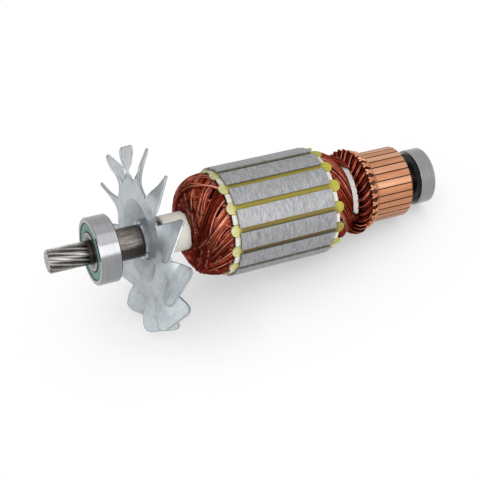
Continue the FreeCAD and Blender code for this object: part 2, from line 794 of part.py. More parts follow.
def swell(inner, outer, share):
    """Radius that lies a share of the way from one radius to another."""
    return "(%s + (%s - %s) * %g)" % (inner, outer, inner, share)


def make_windings():
    """Varnished coil heads at both ends, the leads to the hooks and the cord round the waist."""
    length = "Sizes.drive_head_length"
    nose = "(%s - %s)" % (FRONT_INSULATOR, length)
    radii = ("Sizes.drive_nose_radius", "Sizes.drive_head_radius")
    stages = [(share, swell(*radii, rise), turn) for share, rise, turn in DRIVE_STAGES]
    swept_winding("drive_end_winding", nose, length, stages, "Sizes.drive_sweep",
                  "Sizes.slot_count", "Sizes.coil_relief")

    radii = ("Sizes.waist_radius", "Sizes.rear_head_radius")
    stages = [(share, swell(*radii, rise), turn) for share, rise, turn in REAR_STAGES]
    swept_winding("commutator_end_winding", REAR_INSULATOR, "Sizes.rear_head_length", stages,
                  "Sizes.rear_sweep", "Sizes.slot_count", "Sizes.coil_relief")

    radii = ("Sizes.waist_radius", "Sizes.lead_ring_radius")
    stages = [(share, swell(*radii, rise), turn) for share, rise, turn in LEAD_STAGES]
    length = "(%s - %s)" % (BAR_STATION, REAR_HEAD_END)
    swept_winding("riser_leads", REAR_HEAD_END, length, stages, "Sizes.lead_sweep",
                  "Sizes.bar_count", "Sizes.lead_relief")

    cord = new_body("lashing_cord")
    inner = "(Sizes.waist_radius - Sizes.lashing_grip)"
    outer = "(Sizes.waist_radius + Sizes.lashing_thickness)"
    start = "(%s - Sizes.lashing_width / 2)" % REAR_HEAD_END
    end = "(%s + Sizes.lashing_width / 2)" % REAR_HEAD_END
    revolve(cord, "lashing_band", box_ring(inner, outer, start, end, "Sizes.lashing_edge"))


def make_commutator():
    """Copper bars with folded hooks, held by their dovetails in a moulded hub."""
    bars = new_body("commutator_bars")
    bar = revolve(bars, "bar_section", [
        ("Sizes.bar_neck_radius", BAR_STATION),
        ("Sizes.commutator_radius", BAR_STATION),
        ("Sizes.commutator_radius", "%s - Sizes.commutator_edge" % BAR_END),
        ("Sizes.commutator_radius - Sizes.commutator_edge", BAR_END),
        ("Sizes.bar_neck_radius", BAR_END),
        ("Sizes.bar_root_radius", "%s - Sizes.bar_dovetail" % BAR_END),
        ("Sizes.bar_root_radius", "%s + Sizes.bar_dovetail" % BAR_STATION),
    ], BAR_ANGLE)
    hook_top = "(Sizes.commutator_radius + Sizes.hook_rise)"
    hook_end = "(%s + Sizes.hook_length)" % BAR_STATION
    hook_angle = "Sizes.hook_width / Sizes.commutator_radius * 180 / pi"
    hook = revolve(bars, "hook", [
        ("Sizes.commutator_radius - Sizes.hook_thickness", BAR_STATION),
        ("%s - Sizes.hook_thickness" % hook_top, BAR_STATION),
        (hook_top, "%s + Sizes.hook_thickness" % BAR_STATION),
        (hook_top, "%s - Sizes.hook_fold" % hook_end),
        ("Sizes.commutator_radius", hook_end),
        ("Sizes.commutator_radius - Sizes.hook_thickness", hook_end),
    ], hook_angle)
    copies = pattern(bars, bar, "Sizes.bar_count")
    copies.Originals = [bar, hook]

    hub = new_body("commutator_hub")
    tail = "(%s + Sizes.hub_tail)" % BAR_END
    revolve(hub, "hub_moulding", [
        ("Sizes.commutator_seat_radius", BAR_STATION),
        ("Sizes.bar_neck_radius", BAR_STATION),
        ("Sizes.bar_root_radius", "%s + Sizes.bar_dovetail" % BAR_STATION),
        ("Sizes.bar_root_radius", "%s - Sizes.bar_dovetail" % BAR_END),
        ("Sizes.bar_neck_radius", BAR_END),
        ("Sizes.hub_tail_radius", tail),
        ("Sizes.commutator_seat_radius", tail),
    ])
    fin_angle = "(360 / Sizes.bar_count - %s)" % BAR_ANGLE
    fin_top = "(Sizes.commutator_radius - Sizes.bar_undercut)"
    fin = revolve(hub, "hub_fin", [
        ("Sizes.bar_root_radius - Sizes.fin_root", "%s + Sizes.bar_dovetail" % BAR_STATION),
        ("Sizes.bar_neck_radius", BAR_STATION),
        (fin_top, BAR_STATION),
        (fin_top, "%s - Sizes.commutator_edge" % BAR_END),
        ("Sizes.bar_neck_radius", BAR_END),
        ("Sizes.bar_root_radius - Sizes.fin_root", "%s - Sizes.bar_dovetail" % BAR_END),
    ], fin_angle)
    pattern(hub, fin, "Sizes.bar_count")
    return hub


def blade_corners():
    """Tip corners of one blade: angle back from its middle, radius and station of each."""
    twist = math.radians(value("Sizes.blade_twist"))
    thick = value("Sizes.fan_sheet") / 2
    corners = []
    for angle in TIP_ANGLES:
        reach, half_width = tip_stage(angle)
        radius, half = value(reach), value(half_width)
        middle = value(blade_station(reach))
        for side in (-half, half):
            for face in (-thick, thick):
                across = side * math.cos(twist) - face * math.sin(twist)
                along = side * math.sin(twist) + face * math.cos(twist)
                back = math.degrees(math.atan2(across, radius))
                corners.append((back, math.hypot(across, radius), middle + along))
    return corners


def fan_points(corners, turn):
    """Distance below the shaft and station of every blade corner, with a blade turned off down."""
    pitch = 360 / value("Sizes.blade_count")
    points = []
    for blade in range(-1, 2):
        for back, radius, station in corners:
            angle = math.radians(turn + blade * pitch - back)
            points.append((radius * math.cos(angle), station))
    return points


def resting_line(points, round_edges):
    """Slope and start of the flat surface that touches fan and commutator end, clear of the rest.

    Each item is (distance below the shaft, station)."""
    for reach, station in points:
        for edge_reach, edge_station in round_edges:
            slope = (reach - edge_reach) / (edge_station - station)
            clear = [
                reach - slope * (other - station) >= low - 1e-6
                for low, other in points + round_edges
            ]
            if all(clear):
                return slope, reach + slope * station
    raise ValueError("no resting position")


def resting_turn(round_edges):
    """Turn of a blade off down, and slope, at which the core's middle lies lowest."""
    corners = blade_corners()
    pitch = 360 / value("Sizes.blade_count")
    middle = value(CORE_STATION) + value("Sizes.core_length") / 2
    best = None
    for step in range(TURN_STEPS):
        turn = pitch * step / TURN_STEPS
        slope, start = resting_line(fan_points(corners, turn), round_edges)
        height = (start - slope * middle) * math.cos(math.atan(slope))
        if best is None or height < best[0]:
            best = (height, turn, slope)
    return best[1:]


def place_bodies():
    """Lays the armature down as it rests, front bearing at the origin."""
    round_edges = [
        (value("Sizes.core_radius"), value(CORE_END)),
        (value("Sizes.commutator_radius"), value(BAR_END) - value("Sizes.commutator_edge")),
        (value("Sizes.commutator_radius - Sizes.commutator_edge"), value(BAR_END)),
        (value("Sizes.rear_outer_radius"), value(SHAFT_END) - value("Sizes.ring_edge")),
        (value("Sizes.rear_outer_radius - Sizes.ring_edge"), value(SHAFT_END)),
    ]
    turn, slope = resting_turn(round_edges)
    tilt = math.degrees(math.atan(slope))
    fan_angle = DOWN + turn
    phases = {"cooling_fan": fan_angle}
    for label, offset in FAN_OFFSETS.items():
        phases[label] = fan_angle + value(offset)
    lean = FreeCAD.Rotation(V(0, 1, 0), tilt)
    along_x = FreeCAD.Rotation(V(1, 1, 1), 120)
    lay = FreeCAD.Placement(V(0, 0, 0), lean * along_x)
    back = FreeCAD.Placement(V(0, 0, -value(FRONT_STATION) - value("Sizes.front_width") / 2),
                             FreeCAD.Rotation())
    for body in bodies:
        turn = FreeCAD.Placement(V(0, 0, 0), FreeCAD.Rotation(AXIS, phases.get(body.Label, 0)))
        body.Placement = lay * back * turn
    print("shaft slopes %.3f degrees, fan turned %.3f degrees" % (tilt, fan_angle))


def check_bodies():
    """Stops on any failed feature or bad solid."""
    for item in doc.Objects:
        if "Invalid" in item.State or "Error" in item.State:
            raise RuntimeError("%s failed: %s" % (item.Name, item.State))
    for body in bodies:
        shape = body.Shape
        if shape.isNull() or not shape.isValid() or shape.Volume <= 0:
            raise RuntimeError("%s has no sound solid" % body.Label)
        print(body.Label, len(shape.Solids), round(shape.Volume, 2))


make_shaft()
make_bearing("front", FRONT_STATION)
make_bearing("rear", REAR_STATION)
make_fan_hub()
make_fan()
make_sleeve()
make_core()
make_slot_fill()
make_wedges()
make_windings()
make_commutator()
doc.recompute()

place_bodies()
doc.recompute()
check_bodies()
for body in bodies:
    body.Shape.exportStep("parts/%s.step" % body.Label)
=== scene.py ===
"""Looks of the motor armature: finishes, wires of the winding heads and leads, hook knots.

Places are stations along the shaft in metres, counted from the centre of the front bearing,
a radius from the shaft axis, and an angle round the shaft in degrees. An angle of 270 points
at the bench.
"""

import json
import math
import random

import bpy
import numpy as np
from mathutils import Matrix, Vector


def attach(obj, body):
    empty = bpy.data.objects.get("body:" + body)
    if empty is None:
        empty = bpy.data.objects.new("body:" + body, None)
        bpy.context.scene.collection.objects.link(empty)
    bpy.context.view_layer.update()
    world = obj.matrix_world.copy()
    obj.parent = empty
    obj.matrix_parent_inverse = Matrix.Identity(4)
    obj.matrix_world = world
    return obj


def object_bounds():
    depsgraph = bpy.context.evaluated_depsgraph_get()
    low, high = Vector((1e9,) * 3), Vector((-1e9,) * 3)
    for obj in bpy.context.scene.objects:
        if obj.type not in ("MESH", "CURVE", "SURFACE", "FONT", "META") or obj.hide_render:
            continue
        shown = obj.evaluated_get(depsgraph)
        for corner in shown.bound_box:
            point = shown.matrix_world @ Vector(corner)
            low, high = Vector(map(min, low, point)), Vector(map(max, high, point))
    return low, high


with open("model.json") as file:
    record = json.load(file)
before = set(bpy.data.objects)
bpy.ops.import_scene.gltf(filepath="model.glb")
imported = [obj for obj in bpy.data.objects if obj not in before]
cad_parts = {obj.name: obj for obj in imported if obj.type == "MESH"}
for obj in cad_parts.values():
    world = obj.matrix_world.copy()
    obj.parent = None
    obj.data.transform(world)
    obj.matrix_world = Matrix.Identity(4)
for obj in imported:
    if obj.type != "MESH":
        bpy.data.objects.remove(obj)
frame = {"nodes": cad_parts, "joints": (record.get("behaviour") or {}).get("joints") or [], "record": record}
cad_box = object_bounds()

MM = 0.001
ROTOR = "rotor"
SHAFT = Vector(frame["joints"][0]["axis"]).normalized()
SIDE = Vector((0, 1, 0))
RISE = SHAFT.cross(SIDE).normalized()

# Stations of the solids: core, winding head at the fan end, winding head at the other, bars
CORE_START = 59.3 * MM
CORE_END = 109.0 * MM
INSULATOR_DEPTH = 2.5 * MM
DRIVE_BASE = CORE_START - INSULATOR_DEPTH
DRIVE_NOSE = DRIVE_BASE - 14.8 * MM
REAR_BASE = CORE_END + INSULATOR_DEPTH
WAIST = REAR_BASE + 13.3 * MM
BAR_START = CORE_END + 23.5 * MM

SLOT_COUNT = 15
BAR_COUNT = 30
SLOT_PITCH = 360 / SLOT_COUNT
BAR_PITCH = 360 / BAR_COUNT
FAN_TURN = 293.3
FIRST_SLOT = FAN_TURN + 2.5
FIRST_BAR = FIRST_SLOT - SLOT_PITCH
# Angles of the camera's side and of its upward direction
TOWARD_ANGLE = FAN_TURN - 151.5
UP_ANGLE = TOWARD_ANGLE - 90


def at(station, radius, angle):
    """Point beside the shaft."""
    turn = math.radians(angle)
    out = SIDE * math.cos(turn) + RISE * math.sin(turn)
    return SHAFT * station + out * radius


# Nodes of a material. A range is a pair of values.

# Sockets of the colour mix node
MIX_FACTOR, MIX_FIRST, MIX_SECOND, MIX_RESULT = 0, 6, 7, 2
# Where the dark and the light half of a noise set in
TWO_TONES = (0.3, 0.7)
# Values of a texture between which roughness goes from one end of its range to the other
ROUGH_FROM = (0.2, 0.8)
# Openness between which painted shade gives way to the clean surface
SHADE_FROM = (0.25, 0.85)


def add(tree, kind, **values):
    """Node of a kind, with its plain settings."""
    node = tree.nodes.new(kind)
    for key, setting in values.items():
        setattr(node, key, setting)
    return node


def feed(tree, value, socket):
    """Gives a socket the output of another, a plain colour or a number."""
    if isinstance(value, bpy.types.NodeSocket):
        tree.links.new(value, socket)
    elif isinstance(value, tuple):
        socket.default_value = (*value, 1)
    else:
        socket.default_value = value


def shaft_space(tree):
    """Coordinates turned so that the first axis runs along the shaft."""
    space = add(tree, "ShaderNodeTexCoord")
    turn = add(tree, "ShaderNodeMapping", vector_type="POINT")
    slope = math.atan2(-SHAFT.z, SHAFT.x)
    turn.inputs["Rotation"].default_value = (0, -slope, 0)
    feed(tree, space.outputs["Object"], turn.inputs["Vector"])
    return turn.outputs["Vector"]


def new_material(name):
    """Node material, with its tree, its shader and coordinates along the shaft."""
    material = bpy.data.materials.new(name)
    material.use_nodes = True
    tree = material.node_tree
    return material, tree, tree.nodes["Principled BSDF"], shaft_space(tree)


def noise(tree, space, scale, detail=3.0, roughness=0.55):
    """Noise value at a scale, which is one number or one for each axis."""
    if isinstance(scale, tuple):
        stretch = add(tree, "ShaderNodeMapping")
        stretch.inputs["Scale"].default_value = scale
        feed(tree, space, stretch.inputs["Vector"])
        space, scale = stretch.outputs["Vector"], 1.0
    node = add(tree, "ShaderNodeTexNoise")
    node.inputs["Scale"].default_value = scale
    node.inputs["Detail"].default_value = detail
    node.inputs["Roughness"].default_value = roughness
    feed(tree, space, node.inputs["Vector"])
    return node.outputs["Fac"]


def grain(tree, space, scale):
    """Fine, even noise."""
    return noise(tree, space, scale, detail=5.0, roughness=0.6)


def ramp(tree, value, stops):
    """Colour ramp with (position, colour) stops, where a single number is a grey."""
    node = add(tree, "ShaderNodeValToRGB")
    elements = node.color_ramp.elements
    while len(elements) < len(stops):
        elements.new(0.5)
    for element, (position, colour) in zip(elements, stops):
        element.position = position
        element.color = (*(colour if isinstance(colour, tuple) else (colour,) * 3), 1)
    feed(tree, value, node.inputs["Fac"])
    return node.outputs["Color"]


def two_tone(tree, value, dark, light):
    """Dark to light colour by a noise."""
    return ramp(tree, value, list(zip(TWO_TONES, (dark, light))))


def span(tree, value, source, result=(0.0, 1.0)):
    """Value mapped from one range to another, clamped."""
    node = add(tree, "ShaderNodeMapRange")
    for end, limit in zip(("From Min", "From Max", "To Min", "To Max"), (*source, *result)):
        node.inputs[end].default_value = limit
    feed(tree, value, node.inputs["Value"])
    return node.outputs["Result"]


def mix(tree, factor, first, second, blend="MIX"):
    """Blend of two colours, each a socket or a plain colour."""
    node = add(tree, "ShaderNodeMix", data_type="RGBA", blend_type=blend)
    for index, value in ((MIX_FACTOR, factor), (MIX_FIRST, first), (MIX_SECOND, second)):
        feed(tree, value, node.inputs[index])
    return node.outputs[MIX_RESULT]


def patches(tree, colour, value, source, share, other):
    """Colour that turns to another, at most by a share, as a value rises through a range."""
    return mix(tree, span(tree, value, source, (0.0, share)), colour, other)


def arithmetic(tree, operation, first, second=0.0):
    """Result of an operation on values, each a socket or a number."""
    node = add(tree, "ShaderNodeMath", operation=operation)
    feed(tree, first, node.inputs[0])
    feed(tree, second, node.inputs[1])
    return node.outputs[0]


def part_of(tree, vector, axis):
    """One axis of a vector."""
    node = add(tree, "ShaderNodeSeparateXYZ")
    feed(tree, vector, node.inputs["Vector"])
    return node.outputs[axis]


def strand_shade(tree):
    """Shade of a single wire, above 0, and 0 on every solid."""
    return add(tree, "ShaderNodeAttribute", attribute_name="strand").outputs["Fac"]


def shaft_reach(tree, space):
    """Distance from the shaft axis."""
    across = add(tree, "ShaderNodeVectorMath", operation="MULTIPLY")
    across.inputs[1].default_value = (0, 1, 1)
    feed(tree, space, across.inputs[0])
    reach = add(tree, "ShaderNodeVectorMath", operation="LENGTH")
    feed(tree, across.outputs[0], reach.inputs[0])
    return reach.outputs["Value"]


def side_share(tree, space, angle):
    """How near a place lies to the side of the shaft at an angle, 1 on that side."""
    turn = math.radians(angle)
    facing = add(tree, "ShaderNodeVectorMath", operation="DOT_PRODUCT")
    facing.inputs[1].default_value = (0, math.cos(turn), math.sin(turn))
    feed(tree, space, facing.inputs[0])
    return arithmetic(tree, "DIVIDE", facing.outputs["Value"], shaft_reach(tree, space))


def openness(tree, reach, samples=8, inside=False):
    """How free a place is of surfaces within reach, outside the solid or inside it."""
    node = add(tree, "ShaderNodeAmbientOcclusion", samples=samples, inside=inside)
    node.inputs["Distance"].default_value = reach
    return node.outputs["AO"]


def crevice_shade(tree, colour, shade_colour, reach, strength=1.0):
    """Colour that turns to a painted shade where other surfaces come close."""
    open_share = span(tree, openness(tree, reach), SHADE_FROM, (1.0 - strength, 1.0))
    return mix(tree, open_share, shade_colour, colour)


def coat(tree, shader, colour, texture, rough, metallic=0.0, source=ROUGH_FROM):
    """Gives the shader its colour, a roughness that follows a texture, and its metal share."""
    feed(tree, colour, shader.inputs["Base Color"])
    feed(tree, span(tree, texture, source, rough), shader.inputs["Roughness"])
    feed(tree, metallic, shader.inputs["Metallic"])


def bump(tree, shader, height, strength, distance):
    """Bump from a height value."""
    node = add(tree, "ShaderNodeBump")
    node.inputs["Strength"].default_value = strength
    node.inputs["Distance"].default_value = distance
    feed(tree, height, node.inputs["Height"])
    feed(tree, node.outputs["Normal"], shader.inputs["Normal"])


# Finishes

# Places between which a finish changes, as radii or stations
RING_REACH = (6 * MM, 10 * MM)
SHAFT_STATIONS = (-26 * MM, 46 * MM)
FAN_REACH = (12 * MM, 44 * MM)
WEDGE_STATIONS = (CORE_START - 4 * MM, CORE_END + 5 * MM)
HOOK_STATIONS = (BAR_START - 2 * MM, BAR_START + 6 * MM)
# Inner and outer radius of the front bearing's seals, and the painted shade of their grooves counted from
# there
SEAL_INNER, SEAL_OUTER = 9.43 * MM, 13.62 * MM
INNER_GROOVE = (SEAL_INNER + 0.3 * MM, SEAL_INNER + 0.8 * MM)
OUTER_GROOVE = (SEAL_OUTER - 0.9 * MM, SEAL_OUTER - 0.4 * MM)
# Angles of the collar's lit side, away from its painted dark reflection, and of the wedges' darker side
COLLAR_LIT_ANGLE = TOWARD_ANGLE - 22
DARK_SIDE_ANGLE = TOWARD_ANGLE + 28


def ring_bands(tree, space, colour):
    """Bright rings, darker toward the bore."""
    tone = ramp(tree, span(tree, shaft_reach(tree, space), RING_REACH), [
        (0.0, 0.10), (0.35, 0.16), (0.48, 0.62), (0.7, 0.75), (1.0, 1.0)])
    return mix(tree, 1.0, colour, tone, "MULTIPLY")


def shaft_bands(tree, space, colour):
    """Bright pinion, heat-blackened root, ground collar and dark bare shaft, by station."""
    share = span(tree, part_of(tree, space, "X"), SHAFT_STATIONS)
    tone = ramp(tree, share, [
        (0.0, (0.68, 0.67, 0.66)),
        (0.21, (0.64, 0.63, 0.61)),
        (0.26, (0.16, 0.14, 0.13)),
        (0.29, (0.10, 0.09, 0.08)),
        (0.43, (0.42, 0.38, 0.35)),
        (0.58, (0.56, 0.52, 0.48)),
        (0.66, (0.22, 0.19, 0.18)),
        (0.80, (0.12, 0.10, 0.09)),
    ])
    colour = mix(tree, 1.0, colour, tone, "MULTIPLY")
    # On the collar: dark streaks, and a painted dark reflection on every side but its lit one
    streak_and_shade_colour, most_darkening = (0.045, 0.038, 0.034), 0.9
    collar = ramp(tree, share, [(0.42, 0.0), (0.45, 1.0), (0.64, 1.0), (0.67, 0.0)])
    streak = noise(tree, space, (90, 520, 520), detail=4.0, roughness=0.7)
    streaks = span(tree, streak, (0.40, 0.62), (0.0, 0.8))
    # Painted dark reflection, darkest away from the collar's lit side
    shaded_side = span(tree, side_share(tree, space, COLLAR_LIT_ANGLE), (0.72, 0.86), (0.75, 0.0))
    darkening = arithmetic(tree, "MINIMUM", arithmetic(tree, "ADD", streaks, shaded_side), most_darkening)
    return mix(tree, arithmetic(tree, "MULTIPLY", collar, darkening), colour, streak_and_shade_colour)


def turned_metal(name, dark, light, metallic, rough, lines_per_metre, mask=None, recess_shade=None):
    """Metal turned or ground about the shaft, with fine lines round it."""
    material, tree, shader, space = new_material(name)
    lines = noise(tree, space, (lines_per_metre, 40, 40), detail=4.0, roughness=0.65)
    blotch = noise(tree, space, 160.0, detail=4.0, roughness=0.6)
    colour = two_tone(tree, lines, dark, light)
    colour = patches(tree, colour, blotch, (0.35, 0.75), 0.45, dark)
    if mask:
        colour = mask(tree, space, colour)
    # Painted shade where other surfaces come close
    if recess_shade:
        colour = crevice_shade(tree, colour, recess_shade, 1.0 * MM)
    coat(tree, shader, colour, lines, (rough * 0.7, rough * 1.3), metallic)
    bump(tree, shader, lines, 0.25, 0.05 * MM)
    return material


def speckled(name, dark, light, rough, scale, metallic=0.0, relief=0.1, shade_colour=None):
    """Cast, moulded or plated surface with a fine speckle."""
    material, tree, shader, space = new_material(name)
    fine = grain(tree, space, scale)
    broad = noise(tree, space, scale * 0.08, detail=3.0, roughness=0.5)
    colour = two_tone(tree, fine, dark, light)
    colour = patches(tree, colour, broad, (0.4, 0.7), 0.5, dark)
    # Painted shade where other surfaces come close
    if shade_colour:
        colour = crevice_shade(tree, colour, shade_colour, 1.8 * MM)
    coat(tree, shader, colour, fine, (rough * 0.8, rough * 1.2), metallic)
    bump(tree, shader, fine, relief, 0.1 * MM)
    return material


def ringed_seal(name):
    """Green rubber seal, with painted shade in the grooves at its inner and outer rims."""
    material, tree, shader, space = new_material(name)
    dark, light, groove_shade = (0.11, 0.25, 0.20), (0.19, 0.36, 0.29), (0.012, 0.03, 0.022)
    fine = grain(tree, space, 1500.0)
    reach = shaft_reach(tree, space)
    # Painted shade in the grooves at the inner and outer rims
    groove_shade_share = arithmetic(tree, "MAXIMUM", span(tree, reach, INNER_GROOVE, (1.0, 0.0)),
                         span(tree, reach, OUTER_GROOVE))
    colour = mix(tree, groove_shade_share, two_tone(tree, fine, dark, light), groove_shade)
    coat(tree, shader, colour, fine, (0.42, 0.66))
    bump(tree, shader, fine, 0.1, 0.1 * MM)
    return material


def stamped_zinc(name):
    """Zinc-plated sheet: handled and smudged, with painted shade toward the hub and along its cut rims."""
    material, tree, shader, space = new_material(name)
    dark, light = (0.47, 0.51, 0.53), (0.60, 0.635, 0.65)
    smudged, bright, rim_shade = (0.36, 0.40, 0.43), (0.70, 0.73, 0.74), (0.12, 0.13, 0.14)
    smudge = noise(tree, space, 75.0, detail=4.0, roughness=0.65)
    spangle = noise(tree, space, 190.0, detail=3.0, roughness=0.7)
    colour = two_tone(tree, grain(tree, space, 500.0), dark, light)
    colour = patches(tree, colour, smudge, (0.42, 0.66), 0.6, smudged)
    colour = patches(tree, colour, spangle, (0.5, 0.7), 0.5, bright)
    reach = span(tree, shaft_reach(tree, space), FAN_REACH)
    # Painted shade toward the hub
    tone = ramp(tree, reach, [(0.0, 0.70), (0.35, 0.92), (0.9, 1.0)])
    colour = mix(tree, 1.0, colour, tone, "MULTIPLY")
    # Painted shade along the cut rims of the outer blades
    rim = span(tree, openness(tree, 0.6 * MM, inside=True), (0.5, 0.95), (0.9, 0.0))
    cut = arithmetic(tree, "MULTIPLY", rim, span(tree, reach, (0.5, 0.65)))
    colour = mix(tree, cut, colour, rim_shade)
    coat(tree, shader, colour, smudge, (0.28, 0.46), metallic=0.6, source=(0.3, 0.7))
    bump(tree, shader, smudge, 0.12, 0.4 * MM)
    return material


def laminated(name):
    """Varnished sheet edges of the core, half a millimetre each."""
    material, tree, shader, space = new_material(name)
    dark, middle, light = (0.17, 0.17, 0.18), (0.31, 0.31, 0.32), (0.49, 0.49, 0.49)
    brownish, greyed, hollow_shade = (0.27, 0.25, 0.26), (0.31, 0.31, 0.31), (0.06, 0.05, 0.035)
    sheets = noise(tree, space, (1500, 260, 260), detail=3.0, roughness=0.75)
    mottle = noise(tree, space, 900.0, detail=4.0, roughness=0.7)
    wash = noise(tree, space, 120.0, detail=3.0, roughness=0.5)
    colour = ramp(tree, sheets, [(0.3, dark), (0.5, middle), (0.72, light)])
    colour = patches(tree, colour, mottle, (0.45, 0.75), 0.4, brownish)
    colour = patches(tree, colour, wash, (0.45, 0.7), 0.3, greyed)
    # Painted shade where other surfaces come close
    colour = crevice_shade(tree, colour, hollow_shade, 1.2 * MM)
    coat(tree, shader, colour, sheets, (0.36, 0.5), metallic=0.6)
    bump(tree, shader, sheets, 0.35, 0.06 * MM)
    return material


def wire_enamel(name):
    """Enamelled copper: deep red-brown under a clear coat, each strand a little different."""
    material, tree, shader, space = new_material(name)
    deep, dark, light = (0.026, 0.002, 0.001), (0.155, 0.015, 0.006), (0.42, 0.080, 0.036)
    glint, shadow, sheen = (0.72, 0.34, 0.26), (0.010, 0.001, 0.001), (0.62, 0.24, 0.15)
    fine = noise(tree, space, 420.0, detail=3.0, roughness=0.6)
    broad = noise(tree, space, 110.0, detail=2.0, roughness=0.5)
    colour = ramp(tree, strand_shade(tree),
                  [(0.0, deep), (0.35, dark), (0.75, light), (1.0, glint)])
    colour = patches(tree, colour, fine, (0.42, 0.72), 0.6, deep)
    colour = patches(tree, colour, broad, (0.45, 0.7), 0.45, dark)
    colour = crevice_shade(tree, colour, shadow, 1.4 * MM)
    coat(tree, shader, colour, fine, (0.2, 0.42), metallic=0.95)
    feed(tree, sheen, shader.inputs["Specular Tint"])
    shader.inputs["Coat Weight"].default_value = 0.05
    shader.inputs["Coat Roughness"].default_value = 0.16
    bump(tree, shader, fine, 0.2, 0.1 * MM)
    return material


def wedge_strip(name):
    """Varnished yellow wedges: cream where they stand out at the fan end, darker on one side of the core."""
    material, tree, shader, space = new_material(name)
    side_dark, stained, hollow_shade = (0.12, 0.075, 0.035), (0.26, 0.19, 0.06), (0.08, 0.055, 0.02)
    fine = grain(tree, space, 500.0)
    fibre = noise(tree, space, (60, 500, 500), detail=3.0, roughness=0.6)
    station = span(tree, part_of(tree, space, "X"), WEDGE_STATIONS)
    colour = ramp(tree, station, [
        (0.0, (0.74, 0.70, 0.38)),
        (0.05, (0.70, 0.66, 0.26)),
        (0.09, (0.40, 0.33, 0.035)),
        (0.9, (0.42, 0.35, 0.035)),
        (0.95, (0.56, 0.52, 0.07)),
    ])
    between_ends = ramp(tree, station, [(0.07, 0.0), (0.1, 1.0), (0.92, 1.0), (0.96, 0.4)])
    # Darker on one side of the core, between the wedges' ends
    side_darkening = arithmetic(tree, "MULTIPLY",
                        span(tree, side_share(tree, space, DARK_SIDE_ANGLE), (0.91, 0.985)),
                        span(tree, fibre, (0.3, 0.55), (0.65, 1.0)))
    colour = mix(tree, arithmetic(tree, "MULTIPLY", between_ends, side_darkening), colour, side_dark)
    colour = patches(tree, colour, fibre, (0.4, 0.7), 0.35, stained)
    # Painted shade where other surfaces come close
    colour = crevice_shade(tree, colour, hollow_shade, 2.0 * MM, 0.9)
    coat(tree, shader, colour, fine, (0.35, 0.6))
    shader.inputs["Specular IOR Level"].default_value = 0.3
    bump(tree, shader, fine, 0.2, 0.1 * MM)
    return material


def bar_position(tree, space):
    """Place round the commutator, counted in bars from the middle of the first."""
    turn = arithmetic(tree, "ARCTAN2", part_of(tree, space, "Z"), part_of(tree, space, "Y"))
    bars = arithmetic(tree, "MULTIPLY", turn, BAR_COUNT / (2 * math.pi))
    return arithmetic(tree, "SUBTRACT", bars, FIRST_BAR / BAR_PITCH)


def brushed_copper(name):
    """Turned copper bars, each a little different, dark at the gaps, with painted shade round the hooks."""
    material, tree, shader, space = new_material(name)
    dark, middle, light = (0.45, 0.185, 0.09), (0.60, 0.28, 0.15), (0.70, 0.39, 0.24)
    line, deep_bar, pale_bar = (0.42, 0.17, 0.085), (0.44, 0.17, 0.08), (0.76, 0.46, 0.31)
    gap, hook_shade, darkening = (0.13, 0.045, 0.02), (0.11, 0.045, 0.025), (0.05, 0.015, 0.008)
    place = bar_position(tree, space)
    number = arithmetic(tree, "FLOOR", arithmetic(tree, "ADD", place, 0.5))
    number = arithmetic(tree, "FLOORED_MODULO", number, BAR_COUNT)
    chance = add(tree, "ShaderNodeTexWhiteNoise", noise_dimensions="1D")
    feed(tree, number, chance.inputs["W"])
    chance = chance.outputs["Value"]
    edge = span(tree, arithmetic(tree, "PINGPONG", place, 0.5), (0.39, 0.44))
    # The bare wire ends in the hooks share this finish, and have no gaps or painted hook shade of their own
    solid = span(tree, strand_shade(tree), (0.0, 0.01), (1.0, 0.0))
    lines = noise(tree, space, (2600, 60, 60), detail=3.0, roughness=0.65)
    streak = noise(tree, space, (60, 900, 900), detail=3.0, roughness=0.6)
    colour = ramp(tree, streak, [(0.3, dark), (0.6, middle), (0.8, light)])
    colour = patches(tree, colour, lines, (0.45, 0.75), 0.4, line)
    colour = mix(tree, span(tree, chance, (0.0, 0.5), (0.4, 0.0)), colour, deep_bar)
    colour = patches(tree, colour, chance, (0.5, 1.0), 0.45, pale_bar)
    colour = mix(tree, arithmetic(tree, "MULTIPLY", edge, solid), colour, gap)
    station = span(tree, part_of(tree, space, "X"), HOOK_STATIONS)
    # Painted shade round the hooks, on the solids only
    hook_shade_share = ramp(tree, station, [(0.0, 0.75), (0.7, 0.75), (0.82, 0.0)])
    colour = mix(tree, arithmetic(tree, "MULTIPLY", hook_shade_share, solid), colour, hook_shade)
    # Painted shade where other surfaces come close
    colour = crevice_shade(tree, colour, darkening, 1.0 * MM)
    coat(tree, shader, colour, lines, (0.28, 0.48), metallic=0.85)
    bump(tree, shader, lines, 0.3, 0.05 * MM)
    return material


